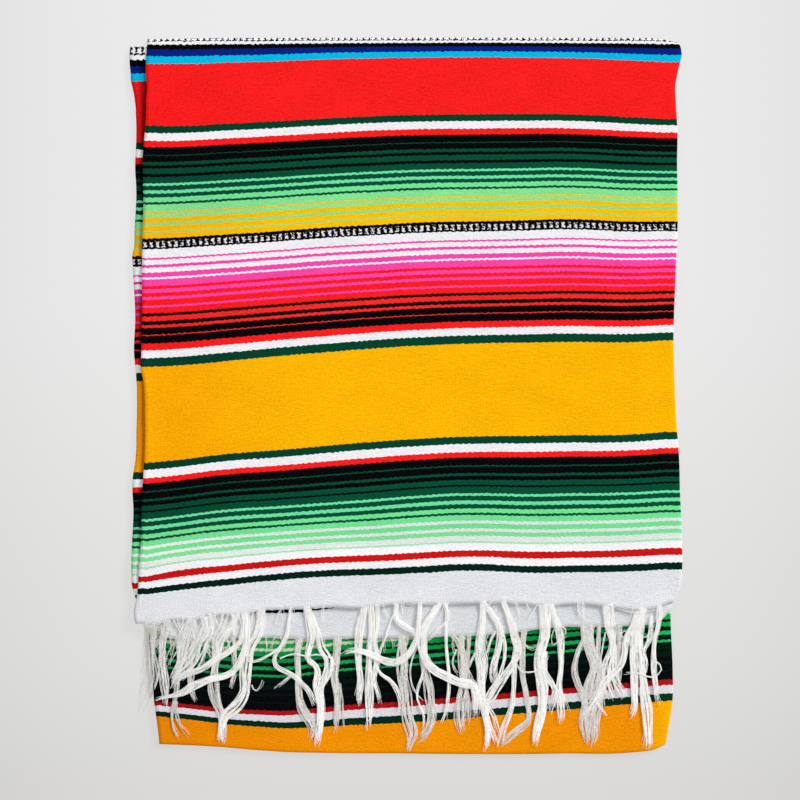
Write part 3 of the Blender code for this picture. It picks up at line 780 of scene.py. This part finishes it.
# Locks of warp ends: how many yarns, how loose, how far over the rest, and a path of (x, y, width)
frontLocks = (
    (8, 2.2, 0, ((-362, -316, 12), (-363, -353, 12), (-366, -395, 12), (-369, -423, 9), (-371, -440, 7))),
    (6, 2.2, 0, ((-352, -317, 8), (-355, -353, 9), (-353, -388, 9), (-358, -409, 8), (-363, -425, 5))),
    (7, 1.2, 0, ((-334, -311, 11), (-337, -327, 13), (-341, -342, 10), (-342, -359, 8), (-341.6, -374, 8.5),
        (-339, -390, 11), (-337, -405, 12), (-336, -436, 5))),
    (9, 1.2, 0, ((-299, -310, 11), (-306, -327, 17), (-310, -342, 15), (-314, -358, 13), (-316, -374, 12),
        (-324, -390, 10), (-330, -402, 7))),
    (9, 1.8, 1, ((-275, -305, 10), (-279, -327, 17), (-288, -342, 19), (-295, -358, 22), (-304, -374, 21),
        (-311, -381, 17), (-327, -400, 9))),
    (7, 1.0, 1, ((-236, -303, 7), (-246, -321, 10), (-257, -334, 11), (-262, -349, 9), (-265, -364, 7),
        (-276, -378, 6))),
    (6, 0.7, 2, ((-228, -303, 6), (-229, -332, 6), (-243, -351, 6), (-271, -367, 7), (-287, -379, 8),
        (-307, -386, 8), (-318, -393, 7), (-327, -404, 5))),
    (8, 0.6, 3, ((-223, -303, 7), (-223, -327, 7), (-225, -349, 8), (-231, -365, 8), (-237, -377, 8),
        (-250, -388, 8), (-271, -393, 8), (-287, -399, 9), (-302, -405, 11), (-315, -413, 8),
        (-334, -418, 4), (-352, -423, 2))),
    (11, 1.6, 1, ((-203, -298, 10), (-206, -327, 13), (-217, -348, 13), (-222, -367, 15), (-225, -390, 13),
        (-226, -405, 11), (-230, -420, 14), (-243, -436, 17), (-254, -446, 14), (-258, -465, 9),
        (-258, -483, 5))),
    (4, 0.5, 2, ((-162, -296, 3), (-165, -318, 3), (-167, -334, 4), (-175, -348, 4), (-182, -358, 4),
        (-185, -368, 5), (-182, -377, 6), (-163, -386, 6), (-146, -400, 7), (-134, -414, 7),
        (-127, -431, 5))),
    (8, 1.2, 1, ((-140, -295, 9), (-134, -323, 8), (-133, -338, 8), (-138, -358, 7), (-137, -368, 7),
        (-128, -373, 8), (-124, -386, 9), (-126, -402, 10), (-122, -423, 8), (-121, -444, 7),
        (-123, -472, 6), (-127, -489, 3))),
    (7, 2.0, 1, ((-138, -295, 6), (-123, -330, 8), (-119, -351, 8), (-112, -362, 8), (-110, -372, 9),
        (-113, -388, 9), (-119, -406, 8), (-118, -430, 6), (-120, -458, 5), (-126, -482, 4))),
    (7, 0.9, 1, ((-58, -294, 8), (-64, -321, 12), (-66, -337, 10), (-67, -355, 9), (-67, -370, 6),
        (-66, -385, 7), (-65, -400, 8), (-66, -417, 8), (-67, -432, 4))),
    (8, 0.9, 1, ((-50, -293, 8), (-49, -325, 8), (-51, -345, 8), (-52, -365, 7), (-52, -390, 8),
        (-52, -409, 11), (-52, -425, 12), (-52, -445, 8), (-53, -463, 4))),
    (5, 0.9, 1, ((-41, -293, 6), (-41, -322, 5), (-44, -343, 5), (-41, -360, 5), (-44, -380, 6),
        (-46, -395, 6), (-41, -412, 6), (-37, -430, 5))),
    (8, 0.6, 3.5, ((19, -289, 6), (17, -312, 6), (15, -333, 6), (10, -347, 7), (3, -358, 8), (-6, -366, 9),
        (-16, -370, 9), (-23, -370, 10), (-41, -363, 9), (-58, -356, 7), (-76, -354, 4), (-85, -356, 2))),
    (4, 0.8, 2, ((-45, -365, 3), (-36, -386, 4), (-23, -395, 4), (-13, -410, 4), (-10, -421, 4),
        (-9, -435, 3))),
    (5, 0.6, 2, ((-13, -289, 6), (-14, -307, 6), (-6, -317, 7), (6, -324, 7), (13, -331, 5),
        (12, -345, 4))),
    (11, 0.7, 3.5, ((47, -289, 8), (36, -303, 8), (26, -319, 10), (22, -333, 12), (22, -351, 12),
        (27, -366, 11), (38, -380, 11), (54, -389, 11), (68, -396, 10), (82, -400, 11), (92, -401, 11),
        (96, -414, 8), (97, -429, 7), (97, -445, 3))),
    (3, 0.5, 2, ((52, -289, 4), (57, -303, 4), (53, -316, 4), (40, -326, 5), (33, -336, 4))),
    (3, 0.6, 1, ((56, -289, 3), (55, -316, 3), (56, -351, 3), (59, -382, 4), (59, -403, 4), (57, -421, 4),
        (54, -442, 5), (48, -459, 3))),
    (11, 1.2, 1, ((106, -287, 7), (106, -316, 8), (104, -334, 10), (103, -351, 11), (105, -370, 15),
        (105, -386, 12), (104, -405, 11), (105, -420, 11), (109, -437, 10), (113, -455, 8), (114, -472, 6),
        (111, -494, 3))),
    (7, 0.9, 1, ((107, -287, 6), (114, -295, 7), (122, -307, 8), (129, -319, 8), (131, -337, 8),
        (128, -356, 8), (122, -375, 9), (122, -393, 9), (124, -402, 5))),
    (3, 0.8, 1, ((134, -325, 3), (138, -354, 3), (133, -379, 4), (124, -400, 4), (114, -417, 4),
        (107, -431, 3))),
    (8, 1.6, 2, ((135, -288, 7), (141, -303, 7), (147, -319, 8), (152, -338, 8), (156, -354, 8),
        (152, -365, 9), (147, -375, 10), (136, -389, 13), (126, -403, 15), (117, -419, 13), (110, -433, 8),
        (112, -446, 6))),
    (5, 0.8, 1, ((136, -288, 5), (141, -303, 5), (148, -321, 6), (154, -345, 6), (151, -365, 6),
        (150, -389, 5), (149, -414, 6), (147, -433, 7), (140, -452, 8), (134, -469, 7), (129, -487, 4))),
    (4, 0.8, 1, ((105, -395, 6), (108, -433, 6), (114, -449, 6), (120, -466, 5), (127, -487, 4))),
    (3, 0.8, 1, ((107, -420, 5), (117, -438, 5), (126, -456, 5), (130, -471, 4))),
    (15, 1.1, 1, ((193, -292, 17), (194, -321, 15), (193, -338, 14), (188, -356, 12), (186, -372, 14),
        (188, -390, 14), (190, -407, 14), (190, -425, 11), (188, -441, 13), (184, -460, 13),
        (180, -474, 11), (179, -484, 9))),
    (7, 0.8, 1, ((203, -292, 6), (206, -307, 7), (211, -319, 8), (215, -337, 8), (216, -359, 8),
        (216, -379, 7), (214, -394, 7), (213, -410, 8), (215, -426, 8), (216, -445, 7), (215, -457, 3))),
    (7, 1.8, 1, ((193, -355, 8), (194, -384, 7), (203, -401, 8), (208, -413, 9), (205, -432, 10),
        (203, -442, 9))),
    (2, 0.8, 1, ((213, -400, 3), (219, -416, 4), (226, -438, 5))),
    (15, 2.0, 1, ((281, -292, 14), (283, -313, 14), (285, -325, 11), (288, -342, 9), (287, -360, 11),
        (284, -372, 15), (284, -386, 19), (286, -400, 24), (291, -414, 27), (294, -424, 25))),
    (9, 1.4, 2, ((330, -295, 7), (322, -311, 7), (313, -325, 8), (306, -345, 7), (303, -368, 7),
        (295, -381, 7), (283, -391, 7), (273, -405, 8), (267, -419, 9), (256, -435, 10), (244, -448, 7))),
    (2, 0.5, 1, ((262, -420, 3), (273, -436, 3), (285, -450, 3))),
    (10, 0.9, 1, ((326, -295, 9), (321, -312, 10), (318, -330, 11), (318, -348, 10), (317, -365, 9),
        (318, -382, 9), (318, -402, 9), (319, -420, 8), (319, -434, 8), (313, -449, 8))),
    (12, 1.4, 1, ((331, -295, 8), (326, -320, 9), (325, -342, 8), (328, -365, 8), (330, -386, 10),
        (332, -403, 12), (334, -420, 14), (336, -438, 15), (337, -456, 12), (338, -473, 9),
        (338, -492, 10))),
    (7, 0.8, 1, ((353, -292, 7), (352, -317, 7), (348, -334, 7), (346, -351, 6), (346, -368, 6),
        (346, -386, 5), (348, -402, 7), (349, -417, 7), (351, -425, 5))),
    (4, 1.2, 1, ((342, -305, 4), (341, -325, 5), (338, -342, 5), (332, -355, 5), (336, -368, 5),
        (333, -379, 5), (330, -390, 4))),
    (2, 0.3, 1, ((284, -291, 2), (306, -297, 2), (327, -298.5, 2), (346, -295, 2))),  # a yarn along the hem
    # Single yarns that stray and loop
    (2, 0.4, 2, ((-165, -320, 2), (-175, -345, 2), (-184, -354, 2), (-198, -363, 2), (-208, -368, 2),
        (-216, -370, 2), (-224, -366, 2), (-229, -358, 2))),
    (1, 0.4, 2, ((-278, -339, 1), (-281, -355, 1), (-287, -367, 1), (-293, -377, 1))),
    (1, 0.4, 3, ((-240, -388, 1), (-243, -396, 1), (-249, -401, 1))),
    (1, 0.4, 1, ((-217, -402, 1), (-212, -410, 1), (-205, -408, 1), (-200, -398, 1))),
    (2, 0.4, 1, ((-160, -388, 2), (-172, -398, 3), (-184, -408, 3))),
    (1, 0.6, 2, ((-177, -365, 1), (-158, -359, 1), (-140, -361, 1), (-124, -359, 1), (-103, -366, 1))),
    (2, 0.5, 1, ((-110, -361, 2), (-103, -368, 2), (-107, -386, 2), (-116, -401, 2))),
    (2, 0.5, 1, ((-16, -300, 1), (-24, -318, 2), (-30, -337, 2), (-36, -351, 2), (-38, -379, 2))),
    (1, 0.5, 1, ((16, -345, 1), (7, -372, 1), (6, -395, 1), (15, -416, 1), (26, -426, 1))),
    (2, 0.5, 1, ((25, -372, 2), (20, -394, 2), (15, -415, 2), (19, -432, 2), (24, -446, 2), (22, -463, 2))),
    (2, 0.5, 2, ((124, -326, 2), (115, -347, 2), (110, -365, 2))),
    (2, 0.5, 1, ((96, -357, 2), (90, -370, 2), (84, -382, 2))),
    (1, 0.5, 2, ((152, -366, 1), (160, -382, 1), (171, -384, 1), (180, -382, 1), (195, -371, 1),
        (202, -358, 1))),
    (1, 0.5, 2, ((166, -346, 1), (173, -351, 1), (180, -349, 1), (190, -340, 1))),
    (1, 0.3, 2, ((214, -318, 1), (223, -327, 1), (216, -335, 1), (208, -331, 1))),
    (1, 0.3, 2, ((206, -346, 1), (216, -338, 1), (224, -334, 1))),
    (1, 0.3, 2, ((297, -325, 1), (304, -337, 1), (311, -331, 1), (306, -324, 1), (299, -331, 1))),
    (1, 0.4, 2, ((322, -322, 1), (330, -335, 1), (340, -328, 1), (344, -318, 1))),
    (1, 0.4, 2, ((348, -368, 1), (356, -377, 1), (352, -387, 1), (341, -391, 1), (329, -386, 1),
        (306, -386, 1))),
    (1, 0.4, 1, ((-350, -400, 1), (-362, -420, 1), (-368, -440, 1), (-374, -447, 1))),
    (1, 0.4, 2, ((278, -328, 1), (273, -351, 1), (271, -368, 1), (268, -390, 1))),
)
secondLocks = (
    (8, 1.6, 0, ((-269, -337, 8), (-268, -351, 7), (-267, -366, 8), (-269, -381, 9), (-270, -398, 17),
        (-269, -412, 18), (-264, -428, 13), (-258, -444, 9), (-257, -465, 8), (-258, -483, 5))),
    (4, 1.0, 0, ((-320, -337, 5), (-319, -380, 4), (-324, -423, 4), (-328, -447, 4), (-320, -477, 3))),
    (2, 0.8, 0, ((-322, -425, 2), (-320, -450, 3), (-303, -476, 4))),
    (7, 1.4, 0, ((-295, -337, 8), (-300, -356, 10), (-303, -385, 9), (-300, -409, 8), (-295, -424, 5))),
    (4, 1.0, 0, ((-242, -336, 4), (-240, -358, 4), (-240, -380, 4), (-246, -404, 3))),
    (8, 0.9, 0, ((-149, -338, 9), (-152, -357, 9), (-152, -374, 9), (-152, -390, 7), (-151, -409, 8),
        (-148, -427, 10), (-140, -444, 14), (-131, -459, 11), (-132, -471, 6), (-138, -479, 2))),
    (9, 0.9, 0, ((-97, -337, 12), (-97, -357, 9), (-100, -375, 11), (-101, -392, 9), (-98, -410, 10),
        (-97, -427, 8), (-97, -445, 8), (-99, -464, 3))),
    (1, 0.5, 0, ((-93, -400, 1), (-90, -428, 1), (-89, -443, 1), (-89, -459, 1))),
    (10, 2.0, 0, ((-6, -336, 9), (-6, -357, 12), (-5, -376, 14), (-5, -395, 14), (-1, -416, 12),
        (0, -434, 14), (3, -451, 15), (8, -469, 14), (5, -483, 8), (3, -497, 4))),
    (9, 1.8, 0, ((26, -335, 8), (24, -360, 8), (25, -380, 9), (31, -404, 10), (33, -421, 11),
        (35, -438, 12), (33, -455, 12), (27, -469, 11), (17, -483, 7))),
    (9, 2.2, 0, ((77, -333, 8), (78, -359, 7), (77, -379, 7), (78, -403, 10), (76, -424, 15),
        (76, -441, 16), (76, -455, 12), (76, -469, 4))),
    (4, 1.0, 0, ((64, -334, 8), (77, -351, 7), (82, -372, 7), (89, -393, 6), (92, -408, 5))),
    (4, 1.0, 0, ((87, -333, 7), (87, -351, 6), (85, -372, 5), (82, -395, 4), (85, -420, 6), (88, -443, 6),
        (86, -455, 3))),
    (2, 0.5, 0, ((70, -352, 2), (64, -374, 2), (71, -388, 2))),
    (8, 0.9, 0, ((165, -327, 8), (162, -354, 6), (162, -370, 7), (162, -388, 7), (166, -409, 8),
        (169, -430, 7), (171, -444, 7), (168, -455, 8), (158, -463, 10), (146, -473, 10), (136, -481, 8),
        (129, -487, 4))),
    (5, 0.8, 0, ((246, -321, 6), (248, -338, 6), (242, -351, 6), (238, -364, 5), (235, -378, 6),
        (237, -392, 6), (244, -411, 7), (249, -427, 8), (252, -450, 8), (256, -478, 6))),
    (20, 1.5, 0, ((253, -321, 18), (255, -343, 15), (260, -361, 14), (265, -378, 18), (261, -396, 22),
        (259, -413, 26), (261, -430, 29), (257, -448, 27), (256, -466, 23), (257, -478, 18),
        (256, -486, 13))),
    (4, 0.8, 0, ((270, -321, 4), (268, -351, 4), (268, -379, 4), (272, -400, 5), (275, -432, 5))),
    (6, 1.4, 0, ((297, -320, 7), (297, -345, 7), (296, -381, 7), (292, -414, 9))),
)


# How far outside each edge a yarn starts to climb it, and how far the climb goes
edgeSteps = {"left": (4, 8), "right": (3, 7), "fold": (1, 6), "hem": (6, 8)}


def climbOver(edge, inside):
    before, across = edgeSteps[edge]
    return smooth((inside + before) / across)


# Top of what lies under a yarn: the second ply, the turned-up end or the floor
def groundAt(x, y, overSecond):
    onEnd = climbOver("left", x - readTable(outline["endSides"], y, 1))
    onEnd *= climbOver("right", readTable(outline["endSides"], y, 2) - x)
    onEnd *= climbOver("fold", y - readTable(outline["bottomFold"], x))
    ground = (stack["top"] + fringe["clear"]) * onEnd
    if overSecond:
        onSecond = climbOver("hem", y - readTable(outline["secondHem"], x))
        ground += (stack["top"] + stack["pitch"] - ground + fringe["clear"]) * onSecond
    return ground


# Points along the middle of a lock, each with the lock's width there
def traceLock(path, count):
    lengths = [0.0]
    for first, other in zip(path, path[1:]):
        lengths.append(lengths[-1] + math.dist(first[:2], other[:2]))
    table = [(length, *point) for length, point in zip(lengths, path)]
    steps = [lengths[-1] * k / (count - 1) for k in range(count)]
    return [[readTable(table, step, column) for column in (1, 2, 3)] for step in steps], lengths[-1]


# One yarn: its fibres lie side by side, turn round each other slowly and part at the tip
def addYarn(curve, chance, line, length, place, loose, lay):
    phase, bends = chance.uniform(0, fullTurn), chance.uniform(*fringe["bends"])
    twist, twists = chance.uniform(0, fullTurn), length / chance.uniform(*fringe["twistLength"])
    rounded = math.sqrt(max(0.05, 1 - fringe["heapRound"] * place * place))
    heap = fringe["heap"] * rounded * chance.uniform(0.1, 1.0)
    last = len(line) - 1
    for fibre in range(fringe["fibres"]):
        spline = curve.splines.new("POLY")
        spline.points.add(last)
        away = Vector((chance.uniform(-1, 1), chance.uniform(-1, 1))) * chance.uniform(*fringe["parted"])
        own, shorter = chance.uniform(0, fullTurn), chance.uniform(0.0, fringe["shorter"])
        for k, point in enumerate(spline.points):
            share = k / last * (1 - shorter)
            at = share * last
            low = min(int(at), last - 1)
            here, beyond = line[low], line[low + 1]
            x, y, width = [here[n] + (beyond[n] - here[n]) * (at - low) for n in range(3)]
            ahead = Vector((beyond[0] - here[0], beyond[1] - here[1])).normalized()
            gone = share * length
            opened = smooth((gone - length + fringe["fray"]) / fringe["fray"])
            turn = twist + share * twists * fullTurn + fibre * thirdTurn
            bend = loose * math.sin(phase + share * bends * fullTurn) * smooth(gone / fringe["straightFor"])
            quiver = fringe["quiver"] * math.sin(own + share * fringe["quivers"])
            sideways = place * width + bend
            sideways += fringe["ply"] * math.cos(turn) * fringe["plyWide"] + quiver
            spotX = x + ahead.y * sideways + away.x * opened
            spotY = y - ahead.x * sideways + away.y * opened
            z = lay(spotX, spotY, gone) + fringe["fibre"] + heap
            z += fringe["ply"] * fringe["plyHigh"] * (1 + math.sin(turn))
            point.co = (spotX * mm, spotY * mm, z * mm, 1.0)
            point.radius = 1.0 - fringe["thin"] * opened


# The last pick, beaten into a cord along the hem
hemCord = {
    "strands": 3, "steps": 249, "twist": 150, "left": 3, "right": 5, "out": 0.25, "up": 0.5, "round": 0.4,
    "wander": 0.7, "wanderLength": 16,
}


def addHemCord(curve, hem, depth, seed, rootHeight):
    left, right = hem[0][0] + hemCord["left"], hem[-1][0] - hemCord["right"]
    for strand in range(hemCord["strands"]):
        spline = curve.splines.new("POLY")
        spline.points.add(hemCord["steps"])
        for k, point in enumerate(spline.points):
            x = left + (right - left) * k / hemCord["steps"]
            turn = k / hemCord["steps"] * hemCord["twist"] + strand * thirdTurn
            y = hemLine(hem, x, depth)
            wander = hemCord["wander"] * noise.noise(Vector((x / hemCord["wanderLength"], 4.0, seed)))
            y += hemCord["out"] + hemCord["round"] * math.cos(turn) + wander
            z = rootHeight(x, y) + hemCord["up"] + hemCord["round"] * math.sin(turn)
            point.co = (x * mm, y * mm, z * mm, 1.0)


def meshFromCurve(name, curve, material):
    holder = linkObject(name + "Curve", curve)
    bpy.context.view_layer.update()
    mesh = bpy.data.meshes.new_from_object(holder.evaluated_get(bpy.context.evaluated_depsgraph_get()))
    bpy.data.objects.remove(holder, do_unlink=True)
    mesh.name = name
    mesh.materials.clear()
    mesh.materials.append(material)
    for face in mesh.polygons:
        face.use_smooth = True
    print(name, sum(len(face.vertices) - 2 for face in mesh.polygons), "triangles")
    return linkObject(name, mesh)


def makeFringe(ply, locks, look, rootHeight, material):
    name, hem, overSecond = ply + "Yarns", outline[ply + "Hem"], ply == "front"
    chance = random.Random(look["seed"])
    curve = bpy.data.curves.new(name, "CURVE")
    curve.dimensions = "3D"
    curve.bevel_depth = fringe["fibre"] * mm
    curve.bevel_resolution = 0
    curve.use_fill_caps = True
    for some in look["loose"]:
        locks += looseEnds(hem, *some)
    for yarns, loose, over, path in locks:
        rootX, rootY, rootWidth = path[0]
        rooted = abs(rootY - readTable(hem, rootX)) < fringe["rooted"]
        lastX, lastY, lastWidth = path[-1]
        ahead = Vector((lastX - path[-2][0], lastY - path[-2][1])).normalized()

        def lay(x, y, gone):
            ground = groundAt(x, y, overSecond) + look["raised"] + over * smooth(gone / fringe["climb"])
            if not rooted:
                return ground
            return ground + (rootHeight(x, y) - ground) * (1 - smooth(gone / fringe["settle"]))

        for number in range(yarns):
            place = (number + 0.5 + chance.uniform(-0.3, 0.3)) / yarns - 0.5
            further = chance.uniform(*fringe["tip"])
            points = list(path)
            points[-1] = (lastX + ahead.x * further, lastY + ahead.y * further, lastWidth)
            if rooted:
                points[0] = (rootX, readTable(hem, rootX + place * rootWidth) + fringe["tuck"], rootWidth)
            steps = round(math.dist(points[0][:2], points[-1][:2]) / fringe["step"]) + 3
            line, length = traceLock(points, max(6, min(fringe["mostSteps"], steps)))
            addYarn(curve, chance, line, length, place, loose, lay)
    addHemCord(curve, hem, 0.0 if overSecond else stack["pitch"], look["seed"], rootHeight)
    made = meshFromCurve(name, curve, material)
    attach(made, "root")
    return made


# Short loose ends that hang anyhow from a stretch of a hem: their lean and their share of the longest
looseEnd = {"lean": (-0.9, 0.7), "share": (0.4, 1.0), "stray": 3, "loose": 0.5, "over": 0.5}


def looseEnds(hem, number, seed, first, last, longest):
    chance = random.Random(seed)
    ends = []
    for _ in range(number):
        x = chance.uniform(first, last)
        y = readTable(hem, x)
        lean, length = chance.uniform(*looseEnd["lean"]), chance.uniform(*looseEnd["share"]) * longest
        stray = chance.uniform(-looseEnd["stray"], looseEnd["stray"])
        middle = (x + lean * length * 0.35 + stray, y - length * 0.5, 2)
        path = ((x, y, 1), middle, (x + lean * length * 0.7, y - length * 0.95, 2))
        ends.append((1, looseEnd["loose"], looseEnd["over"], path))
    return tuple(ends)


print("laying the fringe")
frontYarnMaterial = yarnMaterial("frontYarn", *yarn["front"])
secondYarnMaterial = yarnMaterial("secondYarn", *yarn["second"])
# Loose ends: how many, their seed, from where to where along the hem, and the longest
frontLook = {
    "seed": 11, "raised": 0.6, "sunk": 1.4, "loose": ((36, 5, -364, -235, 40), (30, 6, -230, 362, 24)),
}
secondLook = {
    "seed": 12, "raised": 0.0, "sunk": 1.2, "loose": ((40, 7, -360, -240, 42), (30, 8, -235, 362, 26)),
}


# Height where a yarn leaves the edge of its ply
def frontRootHeight(x, y):
    return stack["top"] + stack["stepUp"] - frontLook["sunk"] + frontLift(x, y)


def secondRootHeight(x, y):
    return stack["top"] + stack["stepUp"] - stack["pitch"] - secondLook["sunk"]


frontYarns = makeFringe("front", frontLocks, frontLook, frontRootHeight, frontYarnMaterial)
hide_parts("front_fringe")
secondYarns = makeFringe("second", secondLocks, secondLook, secondRootHeight, secondYarnMaterial)
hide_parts("second_fringe")

floorLook = {
    "half": 6, "below": 0.0002, "near": -0.55, "far": 0.55, "base": 0.17, "lit": 0.835,
    "side": 1.8, "sideMost": 1.4, "sideDarker": -0.07, "roughness": 0.95, "specular": 0.05,
    "tones": (
        (0.0, (219, 218, 216)), (0.17, (226, 226, 224)), (0.32, (229, 229, 227)), (0.47, (233, 233, 232)),
        (0.62, (236, 236, 236)),
    ),
}

bm = bmesh.new()
bmesh.ops.create_grid(bm, x_segments=1, y_segments=1, size=floorLook["half"])
bmesh.ops.translate(bm, verts=bm.verts, vec=(0, 0, -floorLook["below"]))
floorMesh = bpy.data.meshes.new("floor")
bm.to_mesh(floorMesh)
bm.free()
floor = linkObject("floor", floorMesh)
floorMaterial, tree, shader = newMaterial("paleFloor", floorLook["roughness"], floorLook["specular"])
spot = add(tree, "SeparateXYZ", {0: add(tree, "TexCoord").outputs["Object"]}).outputs
# Painted light falloff: the floor is darker towards the fringe end and towards both sides
fall = add(tree, "MapRange", {0: spot[1], 1: floorLook["near"], 2: floorLook["far"]}).outputs[0]
tones = add(tree, "ValToRGB", {0: fall})
setStops(tones, floorLook["tones"])
aside = maths(tree, "MULTIPLY", maths(tree, "ABSOLUTE", spot[0]), floorLook["side"])
aside = maths(tree, "MINIMUM", maths(tree, "POWER", aside, 3.0), floorLook["sideMost"])
aside = maths(tree, "MULTIPLY_ADD", aside, floorLook["sideDarker"], 1.0)
shown = mixColor(tree, 1.0, tones.outputs[0], grey(tree, aside), "MULTIPLY")
# A lit table, so that shadows stay faint
for label, share in (("Base Color", floorLook["base"]), ("Emission Color", floorLook["lit"])):
    tree.links.new(mixColor(tree, 1.0, shown, (share, share, share, 1), "MULTIPLY"), shader.inputs[label])
shader.inputs["Emission Strength"].default_value = 1.0
floorMesh.materials.append(floorMaterial)

print("all pieces in place")
